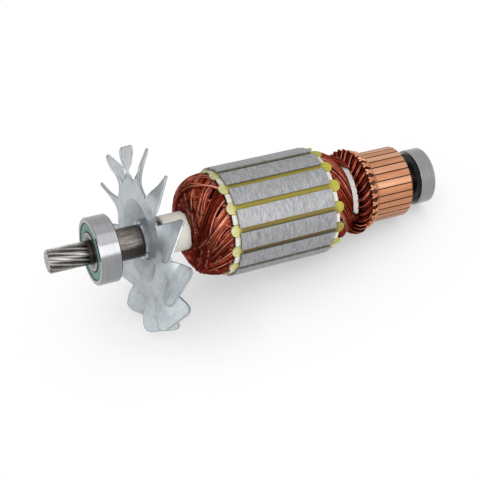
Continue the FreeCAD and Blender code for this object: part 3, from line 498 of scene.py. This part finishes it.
TURNED = {
    # shaft_steel takes a painted shade where other surfaces come close
    "shaft_steel": dict(dark=(0.34, 0.33, 0.32), light=(0.66, 0.65, 0.63), metallic=0.9,
                        rough=0.32, lines_per_metre=2400, mask=shaft_bands,
                        recess_shade=(0.035, 0.03, 0.028)),
    "bearing_steel": dict(dark=(0.25, 0.25, 0.265), light=(0.33, 0.33, 0.34), metallic=1.0,
                          rough=0.2, lines_per_metre=3000, mask=ring_bands),
    "hub_zinc": dict(dark=(0.34, 0.37, 0.40), light=(0.54, 0.57, 0.60), metallic=0.7,
                     rough=0.36, lines_per_metre=2400),
}
SPECKLED = {
    "ball_steel": dict(dark=(0.7, 0.7, 0.72), light=(0.85, 0.85, 0.87), metallic=1.0,
                       rough=0.12, scale=600),
    "cage_steel": dict(dark=(0.45, 0.43, 0.38), light=(0.62, 0.6, 0.55), metallic=0.9,
                       rough=0.35, scale=900),
    # seal_dark is the green seal's rubber again, made darker: painted shade
    "seal_dark": dict(dark=(0.02, 0.045, 0.04), light=(0.05, 0.09, 0.08), rough=0.5, scale=1500),
    "sleeve_cream": dict(dark=(0.84, 0.78, 0.68), light=(0.94, 0.90, 0.81), rough=0.5,
                         scale=400, relief=0.15),
    # insulator_white takes a painted shade, tinted brown, where other surfaces come close
    "insulator_white": dict(dark=(0.74, 0.72, 0.60), light=(0.88, 0.87, 0.78), rough=0.55,
                            scale=700, relief=0.2, shade_colour=(0.30, 0.16, 0.08)),
    "liner_paper": dict(dark=(0.70, 0.68, 0.58), light=(0.85, 0.83, 0.74), rough=0.7,
                        scale=900, relief=0.3),
    "cord_white": dict(dark=(0.58, 0.55, 0.52), light=(0.82, 0.80, 0.76), rough=0.75,
                       scale=2500, relief=0.5),
    "hub_moulding": dict(dark=(0.05, 0.018, 0.010), light=(0.12, 0.05, 0.03), rough=0.6,
                         scale=1200, relief=0.3),
}
SPECIAL = {
    "seal_green": ringed_seal,
    "fan_zinc": stamped_zinc,
    "core_steel": laminated,
    "wedge_yellow": wedge_strip,
    "enamelled_copper": wire_enamel,
    "bar_copper": brushed_copper,
}


def make_materials():
    """Every finish of the part, by the name of its slot."""
    materials = {name: turned_metal(name, **look) for name, look in TURNED.items()}
    materials.update({name: speckled(name, **look) for name, look in SPECKLED.items()})
    materials.update({name: make(name) for name, make in SPECIAL.items()})
    return materials


MATERIALS = make_materials()


def dress_nodes():
    """Gives every CAD node the finish of its slot."""
    slot_of = {row["node"]: row["material_slot"] for row in frame["record"]["subparts"]}
    for name, node in frame["nodes"].items():
        node.data.materials.clear()
        node.data.materials.append(MATERIALS[slot_of[name]])


# Wires

def smooth_path(points, count):
    """Points of a smooth curve through a few given points."""
    points = np.array(points, float)
    ends = np.vstack([2 * points[0] - points[1], points, 2 * points[-1] - points[-2]])
    result = []
    for value in np.linspace(0, len(points) - 1, count):
        index = min(int(value), len(points) - 2)
        t = value - index
        a, b, c, d = ends[index:index + 4]
        result.append(0.5 * (2 * b + (c - a) * t + (2 * a - 5 * b + 4 * c - d) * t * t
                             + (3 * b - a - 3 * c + d) * t ** 3))
    return np.array(result)


def wire_path(places, count):
    """Smooth run of points through (station, radius, angle) places."""
    return smooth_path([at(*place) for place in places], count)


def tubes(name, paths, radius, sides, material, shades):
    """One mesh of round wires along many paths, each with a shade from the given range."""
    vertices, faces, strands = [], [], []
    draw = random.Random(name)
    any_direction = np.array((0.3, 0.5, 0.8))
    for path in paths:
        path = np.asarray(path, float)
        tangent = np.gradient(path, axis=0)
        tangent /= np.linalg.norm(tangent, axis=1)[:, None]
        normal = np.cross(tangent[0], any_direction)
        first = len(vertices)
        shade = draw.uniform(*shades)
        for point, along in zip(path, tangent):
            normal = normal - along * normal.dot(along)
            normal /= np.linalg.norm(normal)
            across = np.cross(along, normal)
            for side in range(sides):
                turn = 2 * math.pi * side / sides
                out = normal * math.cos(turn) + across * math.sin(turn)
                vertices.append(point + radius * out)
                strands.append(shade)
        for ring in range(len(path) - 1):
            for side in range(sides):
                a = first + ring * sides + side
                b = first + ring * sides + (side + 1) % sides
                faces.append((a, b, b + sides, a + sides))
        faces.append(tuple(first + side for side in reversed(range(sides))))
        last = first + (len(path) - 1) * sides
        faces.append(tuple(last + side for side in range(sides)))
    mesh = bpy.data.meshes.new(name)
    mesh.from_pydata(vertices, [], faces)
    mesh.polygons.foreach_set("use_smooth", [True] * len(faces))
    mesh.attributes.new("strand", "FLOAT", "POINT").data.foreach_set("value", strands)
    mesh.materials.append(material)
    piece = bpy.data.objects.new(name, mesh)
    bpy.context.scene.collection.objects.link(piece)
    return piece


def along_profile(profile, station):
    """Radius at a station of a (station, radius) profile."""
    stations, radii = zip(*profile)
    return float(np.interp(station, stations, radii))


def crown(share):
    """Height across a coil's width, 0 at its edges and 1 in its middle."""
    return 1 - (2 * share - 1) ** 2


def jitter(draw, reach):
    """Random value, up to a reach either way."""
    return draw.uniform(-reach, reach)


# Outlines of the winding heads, (station, radius)
DRIVE_PROFILE = [
    (DRIVE_NOSE - 0.5 * MM, 10.1 * MM),
    (DRIVE_NOSE - 0.1 * MM, 12.8 * MM),
    (DRIVE_NOSE + 1.3 * MM, 17.1 * MM),
    (DRIVE_NOSE + 3.7 * MM, 20.1 * MM),
    (DRIVE_NOSE + 7.0 * MM, 22.3 * MM),
    (DRIVE_NOSE + 10.8 * MM, 23.3 * MM),
    (DRIVE_BASE, 23.4 * MM),
]
REAR_PROFILE = [
    (REAR_BASE, 22.8 * MM),
    (REAR_BASE + 3.1 * MM, 22.8 * MM),
    (REAR_BASE + 6.0 * MM, 22.0 * MM),
    (REAR_BASE + 8.5 * MM, 20.7 * MM),
    (REAR_BASE + 10.8 * MM, 18.8 * MM),
    (REAR_BASE + 12.0 * MM, 17.2 * MM),
    (WAIST, 16.8 * MM),
    (WAIST + 2.0 * MM, 16.8 * MM),
]

# Slots, counted from the first, whose coils are wound at the fan end, lowest layer first
DRIVE_ORDER = [1, 2, 3, 4, 5, 6, 12, 11, 10, 9, 8, 13, 14, 0, 7]
DRIVE_SEED = 7
DRIVE_WIRES = 34
DRIVE_POINTS = 28
COIL_SPAN = 7 * SLOT_PITCH
# Share of the way across a coil head, and share of the way out to its apex
DRIVE_RISES = [(0.0, 0.0), (0.035, 0.25), (0.1, 0.58), (0.22, 0.88), (0.5, 1.0),
               (0.78, 0.88), (0.9, 0.58), (0.965, 0.25), (1.0, 0.0)]
# Degrees over which a coil's wires fan out at its slots, and by which its last wire is shorter
DRIVE_FAN, DRIVE_SHORTENING = 15, 14
# Millimetres: crown at the slots, lowest layer, rise to the highest, step of every other wire
DRIVE_CROWN, DRIVE_LOWEST, DRIVE_LAYERS, DRIVE_STEP = 0.7, -0.9, 1.5, 0.4
# Millimetres from the nose to the first wire's apex and on to the last's, and how it grows
APEX_FIRST, APEX_DEPTH, APEX_POWER = -0.5, 4.6, 1.7
# Share of a wire's level that it keeps at the slots
LEVEL_AT_SLOT = 0.25
# How far off a wire may be: level and apex in millimetres, sway at the apex and angle in degrees
DRIVE_LEVEL_OFF, DRIVE_APEX_OFF, DRIVE_SWAY_OFF, DRIVE_ANGLE_OFF = 0.3, 0.15, 1.8, 0.8


def drive_coils():
    """Coil heads at the fan end: each leaves a slot, passes the sleeve and enters another."""
    draw = random.Random(DRIVE_SEED)
    paths = []
    for rank, slot in enumerate(DRIVE_ORDER):
        start = FIRST_SLOT + slot * SLOT_PITCH
        age = rank / (len(DRIVE_ORDER) - 1)
        for wire in range(DRIVE_WIRES):
            share = (wire + 0.5) / DRIVE_WIRES
            lean = (share - 0.5) * DRIVE_FAN
            dome = DRIVE_CROWN * crown(share)
            level = DRIVE_LOWEST + DRIVE_LAYERS * age + DRIVE_STEP * (wire % 2)
            level += jitter(draw, DRIVE_LEVEL_OFF)
            apex = APEX_DEPTH * share ** APEX_POWER + APEX_FIRST + jitter(draw, DRIVE_APEX_OFF)
            apex_station = DRIVE_NOSE + apex * MM
            spread = COIL_SPAN - DRIVE_SHORTENING * share
            sway = jitter(draw, DRIVE_SWAY_OFF)
            places = []
            for across, rise in DRIVE_RISES:
                angle = start + COIL_SPAN / 2 + (across - 0.5) * spread
                angle += lean * (1 - rise) + sway * rise + jitter(draw, DRIVE_ANGLE_OFF)
                station = DRIVE_BASE - (DRIVE_BASE - apex_station) * rise
                kept = LEVEL_AT_SLOT + (1 - LEVEL_AT_SLOT) * rise
                lift = level * kept + dome * (1 - rise * rise)
                radius = along_profile(DRIVE_PROFILE, station) + lift * MM
                places.append((station, radius, angle))
            paths.append(wire_path(places, DRIVE_POINTS))
    return paths


REAR_SEED = 11
REAR_WIRES = 24
REAR_STEPS = 8
REAR_POINTS = 24
# How far past the waist the wires run on
REAR_RUN = 0.6 * MM
# Degrees that a coil sweeps round to the waist, and how this grows on the way
REAR_SWEEP, REAR_SWEEP_POWER = 74, 1.3
# Degrees over which a coil's wires fan out, and the share by which it widens at the waist
REAR_FAN, REAR_WIDENING = 17, 0.3
# Millimetres: crown at the slots, lowest wires, step of every other wire, lift over the solid
REAR_CROWN, REAR_LOWEST, REAR_STEP, REAR_LIFT = 0.6, -0.55, 0.3, 0.1
# Millimetres that the wires dip under the cord, and how late they do
REAR_DIP, REAR_DIP_POWER = 0.8, 6
# Share of the way through its swell that a coil has come at the slots
REAR_SHOULDER = 0.12
# How far off a wire may be: level in millimetres, sweep and angle in degrees
REAR_LEVEL_OFF, REAR_SWEEP_OFF, REAR_ANGLE_OFF = 0.15, 4, 0.5


def rear_coils():
    """Coil heads at the commutator end, all swept the same way from their slots to the waist."""
    draw = random.Random(REAR_SEED)
    paths = []
    for slot in range(SLOT_COUNT):
        start = FIRST_SLOT + slot * SLOT_PITCH
        for wire in range(REAR_WIRES):
            share = (wire + 0.5) / REAR_WIRES
            lean = (share - 0.5) * REAR_FAN
            dome = REAR_CROWN * crown(share)
            level = REAR_STEP * (wire % 2) + REAR_LOWEST + jitter(draw, REAR_LEVEL_OFF)
            sweep = REAR_SWEEP + jitter(draw, REAR_SWEEP_OFF)
            places = []
            for step in range(REAR_STEPS):
                along = step / (REAR_STEPS - 1)
                station = REAR_BASE + (WAIST + REAR_RUN - REAR_BASE) * along
                angle = (start + lean * (1 + REAR_WIDENING * along)
                         + sweep * along ** REAR_SWEEP_POWER)
                swell = math.sin(math.pi * (REAR_SHOULDER + (1 - REAR_SHOULDER) * along))
                bulge = (level + dome * (1 - along)) * swell
                lift = bulge + REAR_LIFT - REAR_DIP * along ** REAR_DIP_POWER
                radius = along_profile(REAR_PROFILE, station) + lift * MM
                places.append((station, radius, angle + jitter(draw, REAR_ANGLE_OFF)))
            paths.append(wire_path(places, REAR_POINTS))
    return paths


# Wires that run over the cord to the leads: offset from the waist and radius, in millimetres,
# and degrees past the camera's side
BRIDGE_PATH = [(-9.0, 21.2, 88), (-5.0, 20.6, 80), (-2.0, 19.2, 73), (0.0, 18.3, 68),
               (1.4, 18.0, 65), (2.8, 17.6, 61)]
# Bands of them: number of wires, and degrees from the path above to the first and last
BRIDGES = [(48, -24, 22), (34, -142, -103)]
BRIDGE_SEED = 13
BRIDGE_POINTS = 22
# How far off a wire may be: place in its band in degrees, level in millimetres, angle in degrees
BRIDGE_SHIFT_OFF, BRIDGE_LEVEL_OFF, BRIDGE_ANGLE_OFF = 1, 0.3, 0.6


def bridge_wires():
    """Bands of wires that lie over the cord, above and below its open stretch."""
    draw = random.Random(BRIDGE_SEED)
    paths = []
    for count, first, last in BRIDGES:
        for wire in range(count):
            shift = first + (last - first) * (wire + 0.5) / count + jitter(draw, BRIDGE_SHIFT_OFF)
            level = jitter(draw, BRIDGE_LEVEL_OFF)
            places = []
            for along, radius, past in BRIDGE_PATH:
                angle = TOWARD_ANGLE - past - shift + jitter(draw, BRIDGE_ANGLE_OFF)
                places.append((WAIST + along * MM, (radius + level) * MM, angle))
            paths.append(wire_path(places, BRIDGE_POINTS))
    return paths


LEAD_SEED = 5
LEAD_START = WAIST + 1.0 * MM
LEAD_SWEEP = -17
LEAD_STRANDS = 3
LEAD_POINTS = 26
# Leads: share of the way to the bar, radius in millimetres, share of the sweep still to go
LEAD_PATH = [(0.0, 16.9, 1.0), (0.12, 17.6, 0.9), (0.28, 19.3, 0.72), (0.5, 20.5, 0.46),
             (0.72, 20.8, 0.24), (0.92, 20.1, 0.06), (1.08, 18.9, 0.0)]
# Radians that a lead's strands twist, and how far they lie from its middle, out and round
TWIST, TWIST_OUT, TWIST_ROUND = 2.4, 0.38 * MM, 1.15
# How far off a lead may be: rise at the hook in millimetres, drift at the waist in degrees, and
# a strand's turn in radians
LEAD_RISE_OFF, LEAD_DRIFT_OFF, STRAND_OFF = 0.35, 0.8, 0.3


def lead_station(along):
    """Station at a share of the way from the waist to the bars."""
    return LEAD_START + (BAR_START - LEAD_START) * along


def leads():
    """Leads from the waist up to their hooks, side by side and each a twist of wires."""
    draw = random.Random(LEAD_SEED)
    paths = []
    for bar in range(BAR_COUNT):
        hook = FIRST_BAR + bar * BAR_PITCH
        rise = jitter(draw, LEAD_RISE_OFF) * MM
        drift = jitter(draw, LEAD_DRIFT_OFF)
        for strand in range(LEAD_STRANDS):
            turn = strand * 2 * math.pi / LEAD_STRANDS + jitter(draw, STRAND_OFF)
            places = []
            for along, radius, sweep in LEAD_PATH:
                station = lead_station(along)
                twist = turn + along * TWIST
                radius = radius * MM + rise * along + math.sin(twist) * TWIST_OUT
                angle = (hook - LEAD_SWEEP * sweep + drift * sweep
                         + math.cos(twist) * TWIST_ROUND)
                places.append((station, radius, angle))
            paths.append(wire_path(places, LEAD_POINTS))
    return paths


HIGHLIGHT_WIRE_SEED = 17
# Degrees that a highlight wire may lie beside its lead's middle, the share of this that it loses
# by the hook, and degrees that its points may be off
HIGHLIGHT_WIRE_BESIDE, HIGHLIGHT_WIRE_NARROWING, HIGHLIGHT_WIRE_ANGLE_OFF = 2.6, 0.6, 0.4
# Lowest and highest lift over the lead, in millimetres
HIGHLIGHT_WIRE_LIFTS = (0.35, 0.6)


def lead_ties():
    """Thin wires in a painted highlight colour that lie on the leads, one or two on each."""
    draw = random.Random(HIGHLIGHT_WIRE_SEED)
    paths = []
    for bar in range(BAR_COUNT):
        hook = FIRST_BAR + bar * BAR_PITCH
        for _ in range(1 + bar % 2):
            beside = jitter(draw, HIGHLIGHT_WIRE_BESIDE)
            lift = draw.uniform(*HIGHLIGHT_WIRE_LIFTS) * MM
            places = []
            for along, radius, sweep in LEAD_PATH:
                station = lead_station(along)
                angle = hook - LEAD_SWEEP * sweep + beside * (1 - HIGHLIGHT_WIRE_NARROWING * along)
                places.append((station, radius * MM + lift, angle + jitter(draw, HIGHLIGHT_WIRE_ANGLE_OFF)))
            paths.append(wire_path(places, LEAD_POINTS))
    return paths


# Hook knots: distance past the bar's start and radius, in millimetres, and degrees beside its
# middle
KNOT_PATHS = [
    [(-0.6, 18.9, 2.6), (0.9, 19.4, 2.2), (2.2, 19.3, 0.6), (3.6, 18.7, -1.4), (4.6, 17.9, -2.4)],
    [(-0.4, 19.1, -2.4), (1.0, 19.6, -1.8), (2.4, 19.2, 0.2), (3.4, 18.8, 1.8), (4.8, 17.9, 2.2)],
]
KNOT_SEED = 3
KNOT_POINTS = 16
# How far off a knot may be: slide along the bar and height in millimetres, angle in degrees
KNOT_SLIDE_OFF, KNOT_HEIGHT_OFF, KNOT_ANGLE_OFF = 0.3, 0.12, 0.3


def hook_knots():
    """Bare wire ends crossed and pressed down under each hook."""
    draw = random.Random(KNOT_SEED)
    paths = []
    for bar in range(BAR_COUNT):
        middle = FIRST_BAR + bar * BAR_PITCH
        for knot in KNOT_PATHS:
            slide = jitter(draw, KNOT_SLIDE_OFF)
            places = []
            for past, radius, side in knot:
                height = (radius + jitter(draw, KNOT_HEIGHT_OFF)) * MM
                angle = middle + side + jitter(draw, KNOT_ANGLE_OFF)
                places.append((BAR_START + (past + slide) * MM, height, angle))
            paths.append(wire_path(places, KNOT_POINTS))
    return paths


WIRE_RADIUS = 0.34 * MM
HIGHLIGHT_WIRE_RADIUS = 0.24 * MM
KNOT_RADIUS = 0.72 * MM
# Lowest and highest shade of the strands, from deep red to a bright glint
ALL_SHADES, DARKER_SHADES, BRIGHTEST_SHADES = (0.02, 1.0), (0.02, 0.6), (0.7, 1.0)


def make_windings():
    """The layers of wire that the photograph shows, and the wire ends in the hooks."""
    for name, paths, radius, sides, slot, shades in (
            ("fan_end_wires", drive_coils(), WIRE_RADIUS, 6, "enamelled_copper", ALL_SHADES),
            ("commutator_end_wires", rear_coils() + bridge_wires(), WIRE_RADIUS, 6,
             "enamelled_copper", ALL_SHADES),
            ("lead_wires", leads(), WIRE_RADIUS, 6, "enamelled_copper", DARKER_SHADES),
            # Thin wires in the brightest shades on the leads: painted highlights
            ("lead_ties", lead_ties(), HIGHLIGHT_WIRE_RADIUS, 6, "enamelled_copper", BRIGHTEST_SHADES),
            ("hook_knots", hook_knots(), KNOT_RADIUS, 8, "bar_copper", ALL_SHADES)):
        piece = tubes(name, paths, radius, sides, MATERIALS[slot], shades)
        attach(piece, ROTOR)


# Camera. Its directions are shares of the shaft's, of the camera's side and of upward.

PHOTO_WIDTH = 480
FOCAL_PIXELS = 1236
SENSOR = 36
CLIP_NEAR, CLIP_FAR = 0.02, 20
CAMERA_PLACE = (-152.5 * MM, 547.3 * MM, 38.6 * MM)
CAMERA_RIGHT = (0.9018, 0.3822, -0.2016)
CAMERA_UP = (0.2182, 0.0, 0.9760)


def seen_from_side(along, toward, above):
    """Vector with given shares along the shaft, toward the camera's side and up."""
    return SHAFT * along + at(0, 1, TOWARD_ANGLE) * toward + at(0, 1, UP_ANGLE) * above


def make_camera():
    """Camera at the photograph's viewing angle."""
    right = seen_from_side(*CAMERA_RIGHT).normalized()
    back = right.cross(seen_from_side(*CAMERA_UP)).normalized()
    up = back.cross(right)
    data = bpy.data.cameras.new("photo_camera")
    data.sensor_width = SENSOR
    data.lens = FOCAL_PIXELS / PHOTO_WIDTH * SENSOR
    data.clip_start = CLIP_NEAR
    data.clip_end = CLIP_FAR
    camera = bpy.data.objects.new("photo_camera", data)
    matrix = Matrix((right, up, back)).transposed().to_4x4()
    matrix.translation = seen_from_side(*CAMERA_PLACE)
    camera.matrix_world = matrix
    bpy.context.scene.collection.objects.link(camera)
    bpy.context.scene.camera = camera


# Light and floor

# Soft panels over the bench: name, angle about the long axis (90 is overhead) and power in watts
PANELS = [("far_panel", 66, 0.5), ("top_panel", 106, 1.8), ("near_panel", 147, 4.5)]
PANEL_DISTANCE = 0.85
PANEL_SIZE = (1.1, 0.55)
# Soft box beyond the pinion, its place counted from the middle of the part
END_BOX_PLACE = Vector((-0.85, -0.25, 0.30))
END_BOX_SIZE = (0.40, 0.40)
END_BOX_POWER = 1.3
SKY_COLOUR = (0.86, 0.90, 0.96)
SKY_STRENGTH = 0.3
FLOOR_REACH = 4.0
FLOOR_SHADES = (0.86, 0.9)
FLOOR_GRAIN = 40.0
FLOOR_ROUGHNESS = 0.8
# Painted shadow of the object on the floor: how far it reaches, and its tone by how open a place is
SHADOW_REACH = 0.06
SHADOW_SAMPLES = 16
SHADOW_TONES = [(0.0, 0.40), (0.45, 0.76), (0.8, 0.96), (0.96, 1.0)]


def area_light(name, place, target, size, power):
    """Soft box that looks at a point."""
    data = bpy.data.lights.new(name, "AREA")
    data.shape = "RECTANGLE"
    data.size, data.size_y = size
    data.energy = power
    lamp = bpy.data.objects.new(name, data)
    lamp.location = place
    lamp.rotation_mode = "QUATERNION"
    lamp.rotation_quaternion = (place - target).to_track_quat("Z", "Y")
    bpy.context.scene.collection.objects.link(lamp)


def white_for_camera(tree, lit, output, tone=None):
    """Lit shader that the camera, and metal and glass, see as plain white or as a given tone."""
    path = add(tree, "ShaderNodeLightPath")
    shiny = arithmetic(tree, "MAXIMUM", path.outputs["Is Glossy Ray"],
                       path.outputs["Is Transmission Ray"])
    seen = arithmetic(tree, "MAXIMUM", path.outputs["Is Camera Ray"], shiny)
    glow = add(tree, "ShaderNodeEmission")
    if tone:
        feed(tree, tone, glow.inputs["Color"])
    blend = add(tree, "ShaderNodeMixShader")
    for socket, value in zip(blend.inputs, (seen, lit.outputs[0], glow.outputs[0])):
        feed(tree, value, socket)
    feed(tree, blend.outputs[0], output.inputs["Surface"])


def make_floor():
    """Pale floor that shows a painted shadow of the object."""
    lowest = cad_box[0].z
    mesh = bpy.data.meshes.new("floor")
    corners = [(FLOOR_REACH * x, FLOOR_REACH * y, lowest)
               for x, y in ((-1, -1), (1, -1), (1, 1), (-1, 1))]
    mesh.from_pydata(corners, [], [(0, 1, 2, 3)])
    floor = bpy.data.objects.new("floor", mesh)
    bpy.context.scene.collection.objects.link(floor)
    material, tree, shader, space = new_material("floor_white")
    shade = two_tone(tree, noise(tree, space, FLOOR_GRAIN), *FLOOR_SHADES)
    feed(tree, shade, shader.inputs["Base Color"])
    shader.inputs["Roughness"].default_value = FLOOR_ROUGHNESS
    shadow = ramp(tree, openness(tree, SHADOW_REACH, SHADOW_SAMPLES), SHADOW_TONES)
    white_for_camera(tree, shader, tree.nodes["Material Output"], shadow)
    mesh.materials.append(material)


def make_surround():
    """White surround that lights the object softly."""
    world = bpy.data.worlds.new("surround")
    world.use_nodes = True
    tree = world.node_tree
    sky = tree.nodes["Background"]
    feed(tree, SKY_COLOUR, sky.inputs["Color"])
    sky.inputs["Strength"].default_value = SKY_STRENGTH
    white_for_camera(tree, sky, tree.nodes["World Output"])
    bpy.context.scene.world = world


def make_lamps():
    """Soft panels over the bench, and one soft box beyond the pinion."""
    centre = (cad_box[0] + cad_box[1]) / 2
    for name, angle, power in PANELS:
        turn = math.radians(angle)
        out = Vector((0, math.cos(turn), math.sin(turn)))
        area_light(name, centre + out * PANEL_DISTANCE, centre, PANEL_SIZE, power)
    area_light("end_box", centre + END_BOX_PLACE, centre, END_BOX_SIZE, END_BOX_POWER)


dress_nodes()
make_windings()
make_camera()
make_floor()
make_surround()
make_lamps()
bpy.context.scene.view_settings.view_transform = "Standard"
